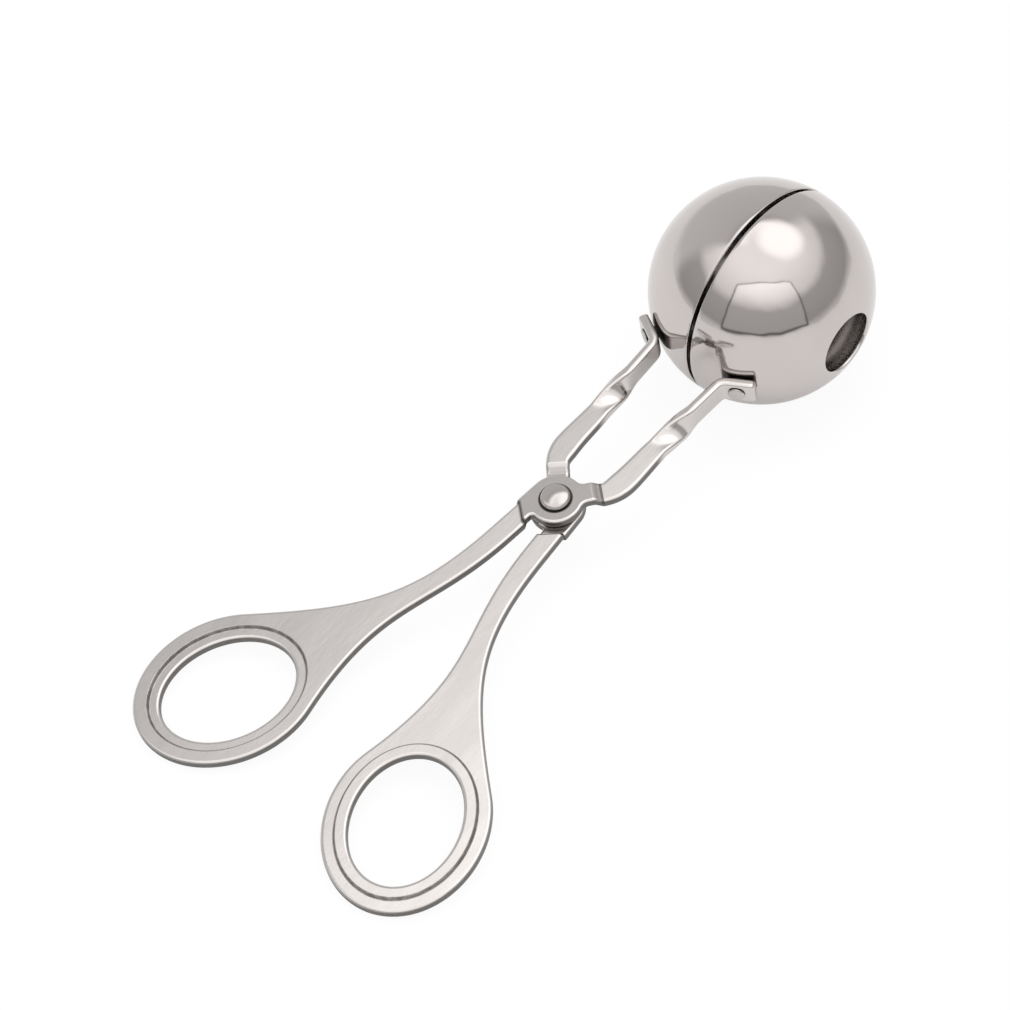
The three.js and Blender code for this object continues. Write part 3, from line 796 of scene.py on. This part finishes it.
def make_cup_rivet():
    inside_radius = ball_radius - CUP_WALL
    seat = ball_radius + SEAT_GAP + SHEET + HEAD_CLEARANCE
    tail_seat = sqrt(inside_radius ** 2 - (CUP_RIVET_HEAD / 2) ** 2) - HEAD_CLEARANCE
    bm = make_rivet(CUP_RIVET_HEAD, CUP_RIVET_SHANK, seat - tail_seat, (CUP_RIVET_HEIGHT, CUP_RIVET_HEIGHT))
    outward = tab_out.to_track_quat("Z", "Y").to_matrix().to_4x4()
    bm.transform(Matrix.Translation(ball_middle + tab_out * seat) @ outward)
    return bm


rivets = [finish_piece(make_pivot_rivet(), "pivot_rivet", "lower_half")]
rivets += finish_halves(make_cup_rivet, ("right_cup_rivet", "left_cup_rivet"))

# %% [markdown]
# All three finishes are the same stainless steel, tumbled, polished or upset, so they share one effect: soft
# clouds, where the finish is a little duller, a fine grain, and speckled painted shade where a mesh marks the
# slope of a press. A group holds it once, with its own scales for each finish. It puts out three masks, and
# each material decides what they do to colour, gloss and relief.

# %% Steel surface group
SPECK_SCALE = 900
SPECK_SPAN = (0.35, 0.6)  # of the noise, from the thinnest painted shade to full painted shade
THIN_SHADE = 0.6


def new_node(tree, kind, **inputs):
    """A node with values for its inputs, whose names have _ for a space."""
    node = tree.nodes.new(kind)
    for name, value in inputs.items():
        node.inputs[name.replace("_", " ")].default_value = value
    return node


def calculate(tree, operation, *values):
    """A math node on numbers and sockets. Returns the socket of its result."""
    node = tree.nodes.new("ShaderNodeMath")
    node.operation = operation
    for socket, value in zip(node.inputs, values):
        if isinstance(value, bpy.types.NodeSocket):
            tree.links.new(value, socket)
        else:
            socket.default_value = value
    return node.outputs["Value"]


steel_surface = bpy.data.node_groups.new("steel_surface", "ShaderNodeTree")
steel_surface.interface.new_socket("Vector", in_out="INPUT", socket_type="NodeSocketVector")
for name in ("Cloud Scale", "Grain Scale", "Press Shade"):
    steel_surface.interface.new_socket(name, in_out="INPUT", socket_type="NodeSocketFloat")
for name in ("Clouds", "Grain", "Speckled Shade"):
    steel_surface.interface.new_socket(name, in_out="OUTPUT", socket_type="NodeSocketFloat")
group_in = steel_surface.nodes.new("NodeGroupInput").outputs
group_out = steel_surface.nodes.new("NodeGroupOutput").inputs
join = steel_surface.links.new
clouds = new_node(steel_surface, "ShaderNodeTexNoise", Detail=3, Roughness=0.55)
grain = new_node(steel_surface, "ShaderNodeTexNoise", Detail=5, Roughness=0.65)
for noise, scale, mask in ((clouds, "Cloud Scale", "Clouds"), (grain, "Grain Scale", "Grain")):
    join(group_in["Vector"], noise.inputs["Vector"])
    join(group_in[scale], noise.inputs["Scale"])
    join(noise.outputs["Fac"], group_out[mask])
# The painted shade is speckled, and lies only where a mesh marks the slope of a press.
specks = new_node(steel_surface, "ShaderNodeTexNoise", Scale=SPECK_SCALE, Detail=2)
speckled = new_node(
    steel_surface, "ShaderNodeMapRange", From_Min=SPECK_SPAN[0], From_Max=SPECK_SPAN[1], To_Min=THIN_SHADE)
join(group_in["Vector"], specks.inputs["Vector"])
join(specks.outputs["Fac"], speckled.inputs["Value"])
speckled_shade = calculate(steel_surface, "MULTIPLY", speckled.outputs["Result"], group_in["Press Shade"])
join(speckled_shade, group_out["Speckled Shade"])
print("group outputs", [item.name for item in steel_surface.interface.items_tree if item.in_out == "OUTPUT"])

# %% [markdown]
# One function makes all three finishes from their numbers: the two tones of the steel, the span of its
# roughness, and the depth of the grain and of the waves that polishing leaves. Another lays a different tone
# over a finish where a mesh is marked, so that painted shade and rougher raw metal need no pieces of their
# own.

# %% Steel material
# Painted shade on the slope of a press, and the roughness that all painted shade shares.
PRESS_SHADE_TONE = (0.27, 0.253, 0.244)
SHADE_ROUGHNESS = 0.5
CLOUD_SPAN = (0.3, 0.7)  # where most of the cloud noise lies


def lay_over(material, mask, tone, roughness):
    """Lays another tone and roughness over a steel, where a mask says so."""
    tree = material.node_tree
    steel = tree.nodes["Principled BSDF"]
    for name, kind, value in (("Base Color", "RGBA", (*tone, 1)), ("Roughness", "FLOAT", roughness)):
        over = tree.nodes.new("ShaderNodeMix")
        over.data_type = kind
        tree.links.new(steel.inputs[name].links[0].from_socket, over.inputs["A"])
        over.inputs["B"].default_value = value
        tree.links.new(mask, over.inputs["Factor"])
        tree.links.new(over.outputs["Result"], steel.inputs[name])


def attribute_mask(material, name):
    node = material.node_tree.nodes.new("ShaderNodeAttribute")
    node.attribute_name = name
    return node.outputs["Fac"]


def make_steel(name, tones, gloss, relief, waviness, cloud_scale, grain_scale, stretch):
    material = bpy.data.materials.new(name)
    material.use_nodes = True
    tree = material.node_tree
    join = tree.links.new
    steel = tree.nodes["Principled BSDF"]
    steel.inputs["Metallic"].default_value = 1
    where = tree.nodes.new("ShaderNodeTexCoord")
    stretched = new_node(tree, "ShaderNodeMapping", Scale=stretch)
    surface = tree.nodes.new("ShaderNodeGroup")
    surface.node_tree = steel_surface
    surface.inputs["Cloud Scale"].default_value = cloud_scale
    surface.inputs["Grain Scale"].default_value = grain_scale
    tone = tree.nodes.new("ShaderNodeMix")
    tone.data_type = "RGBA"
    tone.inputs["A"].default_value = (*tones[0], 1)
    tone.inputs["B"].default_value = (*tones[1], 1)
    rough = new_node(
        tree, "ShaderNodeMapRange", From_Min=CLOUD_SPAN[0], From_Max=CLOUD_SPAN[1], To_Min=gloss[0],
        To_Max=gloss[1])
    bump = new_node(tree, "ShaderNodeBump", Strength=relief[0], Distance=relief[1])
    wave = new_node(tree, "ShaderNodeBump", Strength=1, Distance=waviness)
    join(where.outputs["Object"], stretched.inputs["Vector"])
    join(stretched.outputs["Vector"], surface.inputs["Vector"])
    join(surface.outputs["Clouds"], tone.inputs["Factor"])
    join(tone.outputs["Result"], steel.inputs["Base Color"])
    join(surface.outputs["Clouds"], rough.inputs["Value"])
    join(rough.outputs["Result"], steel.inputs["Roughness"])
    join(surface.outputs["Clouds"], wave.inputs["Height"])
    join(wave.outputs["Normal"], bump.inputs["Normal"])
    join(surface.outputs["Grain"], bump.inputs["Height"])
    join(bump.outputs["Normal"], steel.inputs["Normal"])
    # Speckled painted shade on the slope of a press.
    join(attribute_mask(material, "crease"), surface.inputs["Press Shade"])
    lay_over(material, surface.outputs["Speckled Shade"], PRESS_SHADE_TONE, SHADE_ROUGHNESS)
    print(name, "tones", tones, "roughness", gloss)
    return material


print("speckled_shade", PRESS_SHADE_TONE, "with roughness", SHADE_ROUGHNESS)

# %% [markdown]
# The arms are tumbled satin, lighter and softer than the ball. The cups are polished until they mirror the
# room, with only a breath of haze, and are rougher inside, with painted shade there. The rivets lie between.
# Over these comes painted shade: on the raw punched walls, on the flat of the boss, on the back of the tab
# where it faces the ball, and in the steps and round the rivets' heads.

# %% Three finishes
# Painted shade in the steps and round the rivets' heads.
PAINTED_SHADE_TONE = (0.06, 0.055, 0.052)
satin_steel = make_steel(
    "satin_steel", tones=((0.69, 0.655, 0.635), (0.62, 0.587, 0.568)), gloss=(0.12, 0.2),
    relief=(0.12, 0.00004), waviness=0.00002, cloud_scale=160, grain_scale=2600, stretch=(0.35, 1, 1))
polished_steel = make_steel(
    "polished_steel", tones=((0.64, 0.595, 0.58), (0.55, 0.51, 0.495)), gloss=(0.06, 0.11),
    relief=(0.03, 0.00002), waviness=0.00025, cloud_scale=60, grain_scale=1400, stretch=(1, 0.5, 1))
rivet_steel = make_steel(
    "rivet_steel", tones=((0.62, 0.585, 0.567), (0.5, 0.47, 0.457)), gloss=(0.1, 0.18),
    relief=(0.1, 0.00003), waviness=0.00001, cloud_scale=420, grain_scale=2600, stretch=(1, 1, 1))
MARKS = (  # finish, mark on the mesh, tone, roughness
    # painted shade on the punched walls, which are also rougher
    (satin_steel, "shaded_wall", (0.16, 0.151, 0.145), 0.35),
    # painted shade on the flat of the boss, which is also a little rougher
    (satin_steel, "boss_shade", (0.43, 0.408, 0.396), 0.25),
    # painted shade on the back of the tab, where it faces the ball
    (satin_steel, "ball_side_shade", (0.14, 0.132, 0.127), 0.4),
    # painted shade in the steps and round the rivets' heads
    (satin_steel, "painted_shade", PAINTED_SHADE_TONE, SHADE_ROUGHNESS),
    (rivet_steel, "painted_shade", PAINTED_SHADE_TONE, SHADE_ROUGHNESS),
    # painted shade inside the cups, which are also rougher there
    (polished_steel, "inside", (0.47, 0.442, 0.427), 0.16))
for finish, mark, tone, roughness in MARKS:
    lay_over(finish, attribute_mask(finish, mark), tone, roughness)
for pieces, material in ((arms, satin_steel), (cups, polished_steel), (rivets, rivet_steel)):
    for piece in pieces:
        piece.data.materials.append(material)

# %% [markdown]
# Polished steel shows the room more than itself, so the room matters. It is painted on the world, which has
# a brightness for every direction. A picture of a room would do, but a few nodes are easier to change. They
# ask how high a direction points, and how far it points towards a wall.

# %% Tools for the room
TENT_FULL = 1.8


def soft_step(tree, value, low, high):
    """0 below low and 1 above high, eased between."""
    node = new_node(tree, "ShaderNodeMapRange", From_Min=low, From_Max=high)
    node.interpolation_type = "SMOOTHSTEP"
    tree.links.new(value, node.inputs["Value"])
    return node.outputs["Result"]


def along_direction(tree, looking, direction):
    """How far the view goes along a direction, from -1 to 1."""
    node = tree.nodes.new("ShaderNodeVectorMath")
    node.operation = "DOT_PRODUCT"
    node.inputs[1].default_value = direction
    tree.links.new(looking, node.inputs[0])
    return node.outputs["Value"]


def tent_grey(level):
    share = level / TENT_FULL
    return (share, share, share, 1)


def wall_ramp(tree, height, levels):
    """A wall's brightness over the height of a direction."""
    node = tree.nodes.new("ShaderNodeValToRGB")
    stops = node.color_ramp.elements
    while len(stops) < len(levels):
        stops.new(0.5)
    for stop, (degrees_up, level) in zip(stops, levels):
        stop.position = sin(radians(degrees_up))
        stop.color = tent_grey(level)
    tree.links.new(height, node.inputs["Fac"])
    return node.outputs["Color"]


def blend_walls(tree, share, first, second):
    """The second wall over the first. A wall is a socket or a plain brightness."""
    node = tree.nodes.new("ShaderNodeMix")
    node.data_type = "RGBA"
    tree.links.new(share, node.inputs["Factor"])
    for socket, wall in ((node.inputs["A"], first), (node.inputs["B"], second)):
        if isinstance(wall, bpy.types.NodeSocket):
            tree.links.new(wall, socket)
        else:
            socket.default_value = tent_grey(wall)
    return node.outputs["Result"]


print("full brightness", TENT_FULL)

# %% [markdown]
# A product like this is shot on a white table inside a light tent: a bright ceiling with a hot panel, walls
# that fade to grey towards the table, and an open front for the camera, which the steel shows as a darker
# field with a thin frame. Each wall is a ramp over the height of the direction, and the walls, the panel and
# the front are laid over each other in turn.

# %% Light tent
NEAR_WALLS = (  # degrees above the table, brightness
    (0, 0.75), (6, 0.42), (28, 0.5), (36, 0.95), (55, 1.2), (64, 1.28), (90, 1.28))
FAR_WALL = (
    (0, 0.85), (6, 0.72), (50, 0.66), (58.5, 0.56), (60.5, 0.64), (62.8, 1.04), (65.5, 1.65), (69, 1.5),
    (75, 1.28), (90, 1.28))
FAR_UP = Vector((0.108, -0.012, 0.994))  # the ceiling of the far side hangs a little askew
OPEN_FRONT = ((0, 0.5), (26, 0.54), (36, 1.1), (50, 1.5), (60, 1.7))
PANEL_DIRECTION = Vector((0.335, -0.073, 0.939))
PANEL_LEVEL = 1.8
PANEL_SPREAD = (cos(radians(26)), cos(radians(12)))
FRONT_DIRECTION = polar(radians(-137))
FAR_DIRECTION = polar(radians(57))
FAR_SPREAD = (0.4, 0.7)  # how squarely a direction faces the far wall, from none of it to all of it
FRONT_HALF_WIDTH = 0.885  # size of the open front, for a wall that is 1 away
FRONT_SILL = 0.02
FRONT_HEIGHT = 1.45
FRONT_FRAME = 0.05
FRAME_LEVEL = 0.12
LEAST_AHEAD = 0.001  # stands in for 0 where the view is divided by its reach to the front
OVERHEAD = 1.0025  # a little over 1, so that the view has some reach along the table even straight up


def inside_front(tree, aside, above, margin):
    """1 inside the open front, made smaller by a margin, and 0 outside."""
    edge = FRONT_FRAME / 3
    half_width, sill, height = FRONT_HALF_WIDTH - margin, FRONT_SILL + margin, FRONT_HEIGHT - margin
    beside = soft_step(tree, aside, half_width - edge, half_width + edge)
    over = soft_step(tree, above, height - edge, height + edge)
    clear_of_sill = soft_step(tree, above, sill - edge, sill + edge)
    return calculate(tree, "SUBTRACT", clear_of_sill, calculate(tree, "MAXIMUM", beside, over))


world = bpy.data.worlds.new("light_tent")
bpy.context.scene.world = world
world.use_nodes = True
tent = world.node_tree
looking = tent.nodes.new("ShaderNodeTexCoord").outputs["Generated"]
height = along_direction(tent, looking, (0, 0, 1))
to_front = calculate(tent, "MAXIMUM", along_direction(tent, looking, FRONT_DIRECTION), LEAST_AHEAD)
aside = calculate(tent, "ABSOLUTE", along_direction(tent, looking, left_of(FRONT_DIRECTION)))
aside = calculate(tent, "DIVIDE", aside, to_front)
above = calculate(tent, "DIVIDE", height, to_front)
flat_length = calculate(tent, "SUBTRACT", OVERHEAD, calculate(tent, "POWER", height, 2))
flat_length = calculate(tent, "SQRT", flat_length)
to_far = calculate(tent, "DIVIDE", along_direction(tent, looking, FAR_DIRECTION), flat_length)
walls = blend_walls(
    tent, soft_step(tent, to_far, *FAR_SPREAD),
    wall_ramp(tent, height, NEAR_WALLS), wall_ramp(tent, along_direction(tent, looking, FAR_UP), FAR_WALL))
panel = soft_step(tent, along_direction(tent, looking, PANEL_DIRECTION), *PANEL_SPREAD)
walls = blend_walls(tent, panel, walls, PANEL_LEVEL)
walls = blend_walls(tent, inside_front(tent, aside, above, 0), walls, FRAME_LEVEL)
walls = blend_walls(
    tent, inside_front(tent, aside, above, FRONT_FRAME), walls, wall_ramp(tent, height, OPEN_FRONT))
background = tent.nodes["Background"]
background.inputs["Strength"].default_value = TENT_FULL
tent.links.new(walls, background.inputs["Color"])
print("tent of", len(tent.nodes), "nodes")

# %% [markdown]
# One soft lamp hangs above the table. It draws the shadow under the ball and the loops, which tells the eye
# that the scoop rests there. The steel doesn't mirror it: the tent's panel is the light that it shows.

# %% Lamp
LAMP_SIZE = (0.3, 0.3)
LAMP_HEIGHT = 0.7
LAMP_RADIANCE = 1.7
lamp_data = bpy.data.lights.new("overhead_softbox", "AREA")
lamp_data.shape = "RECTANGLE"
lamp_data.size, lamp_data.size_y = LAMP_SIZE
lamp_data.energy = LAMP_RADIANCE * pi * LAMP_SIZE[0] * LAMP_SIZE[1]
lamp = bpy.data.objects.new(lamp_data.name, lamp_data)
lamp.location = (0, 0, LAMP_HEIGHT)
lamp.visible_glossy = False
bpy.context.scene.collection.objects.link(lamp)
print("lamp", round(lamp_data.energy, 2), "W")

# %% [markdown]
# The table is a large white disc. To the camera most of it is plain white glow, so that the picture's ground
# is white, and the rest is lit, so that the shadow stays. In the steel's reflections the glow counts for
# less, so that the steel is darker where it shows the shaded table.

# %% Table
TABLE_RADIUS = 2.5
TABLE_TURNS = 96
TABLE_TONE = (0.9, 0.9, 0.9, 1)
GLOW_TONE = (1, 1, 1, 1)
GLOW_STRENGTH = 1.015
SEEN_GLOW = 0.9  # share of plain white for the camera
STEEL_GLOW = 0.25  # share of plain white in the steel's reflections
table_bm = bmesh.new()
bmesh.ops.create_circle(table_bm, cap_ends=True, segments=TABLE_TURNS, radius=TABLE_RADIUS)
table_mesh = bpy.data.meshes.new("white_table")
table_bm.to_mesh(table_mesh)
table_bm.free()
table = bpy.data.objects.new("white_table", table_mesh)
bpy.context.scene.collection.objects.link(table)

white = bpy.data.materials.new("white_table")
white.use_nodes = True
tree = white.node_tree
tree.nodes.clear()
rays = tree.nodes.new("ShaderNodeLightPath").outputs
to_camera = calculate(tree, "MULTIPLY", rays["Is Camera Ray"], SEEN_GLOW)
in_steel = calculate(tree, "MULTIPLY", rays["Is Glossy Ray"], STEEL_GLOW)
glow_share = calculate(tree, "ADD", to_camera, in_steel)
lit = new_node(tree, "ShaderNodeBsdfDiffuse", Color=TABLE_TONE)
glow = new_node(tree, "ShaderNodeEmission", Color=GLOW_TONE, Strength=GLOW_STRENGTH)
both = tree.nodes.new("ShaderNodeMixShader")
out = tree.nodes.new("ShaderNodeOutputMaterial")
tree.links.new(glow_share, both.inputs["Fac"])
tree.links.new(lit.outputs["BSDF"], both.inputs[1])
tree.links.new(glow.outputs["Emission"], both.inputs[2])
tree.links.new(both.outputs["Shader"], out.inputs["Surface"])
table_mesh.materials.append(white)
print("table", 2 * TABLE_RADIUS, "m across, glow", SEEN_GLOW, "seen and", STEEL_GLOW, "in the steel")

# %% [markdown]
# The camera stands where the photograph was taken from: behind the handles and to their right, looking down
# at about 50 degrees with a long lens, rolled by a few degrees.

# %% Camera
CAMERA_PLACE = Vector((-288.8, -282.1, 515.3)) * METRES
CAMERA_AIM = Vector((-3.7, 9.6, 10)) * METRES
CAMERA_ROLL = radians(-4.4)
CAMERA_LENS = 119.8
SENSOR_WIDTH = 36
camera_data = bpy.data.cameras.new("camera")
camera_data.lens = CAMERA_LENS
camera_data.sensor_width = SENSOR_WIDTH
camera = bpy.data.objects.new("camera", camera_data)
level_view = (CAMERA_AIM - CAMERA_PLACE).to_track_quat("-Z", "Y").to_matrix().to_4x4()
camera.matrix_world = Matrix.Translation(CAMERA_PLACE) @ level_view @ Matrix.Rotation(CAMERA_ROLL, 4, "Z")
bpy.context.scene.collection.objects.link(camera)
bpy.context.scene.camera = camera
bpy.context.scene.view_settings.view_transform = "Standard"
print("camera", round((CAMERA_AIM - CAMERA_PLACE).length, 3), "m away")
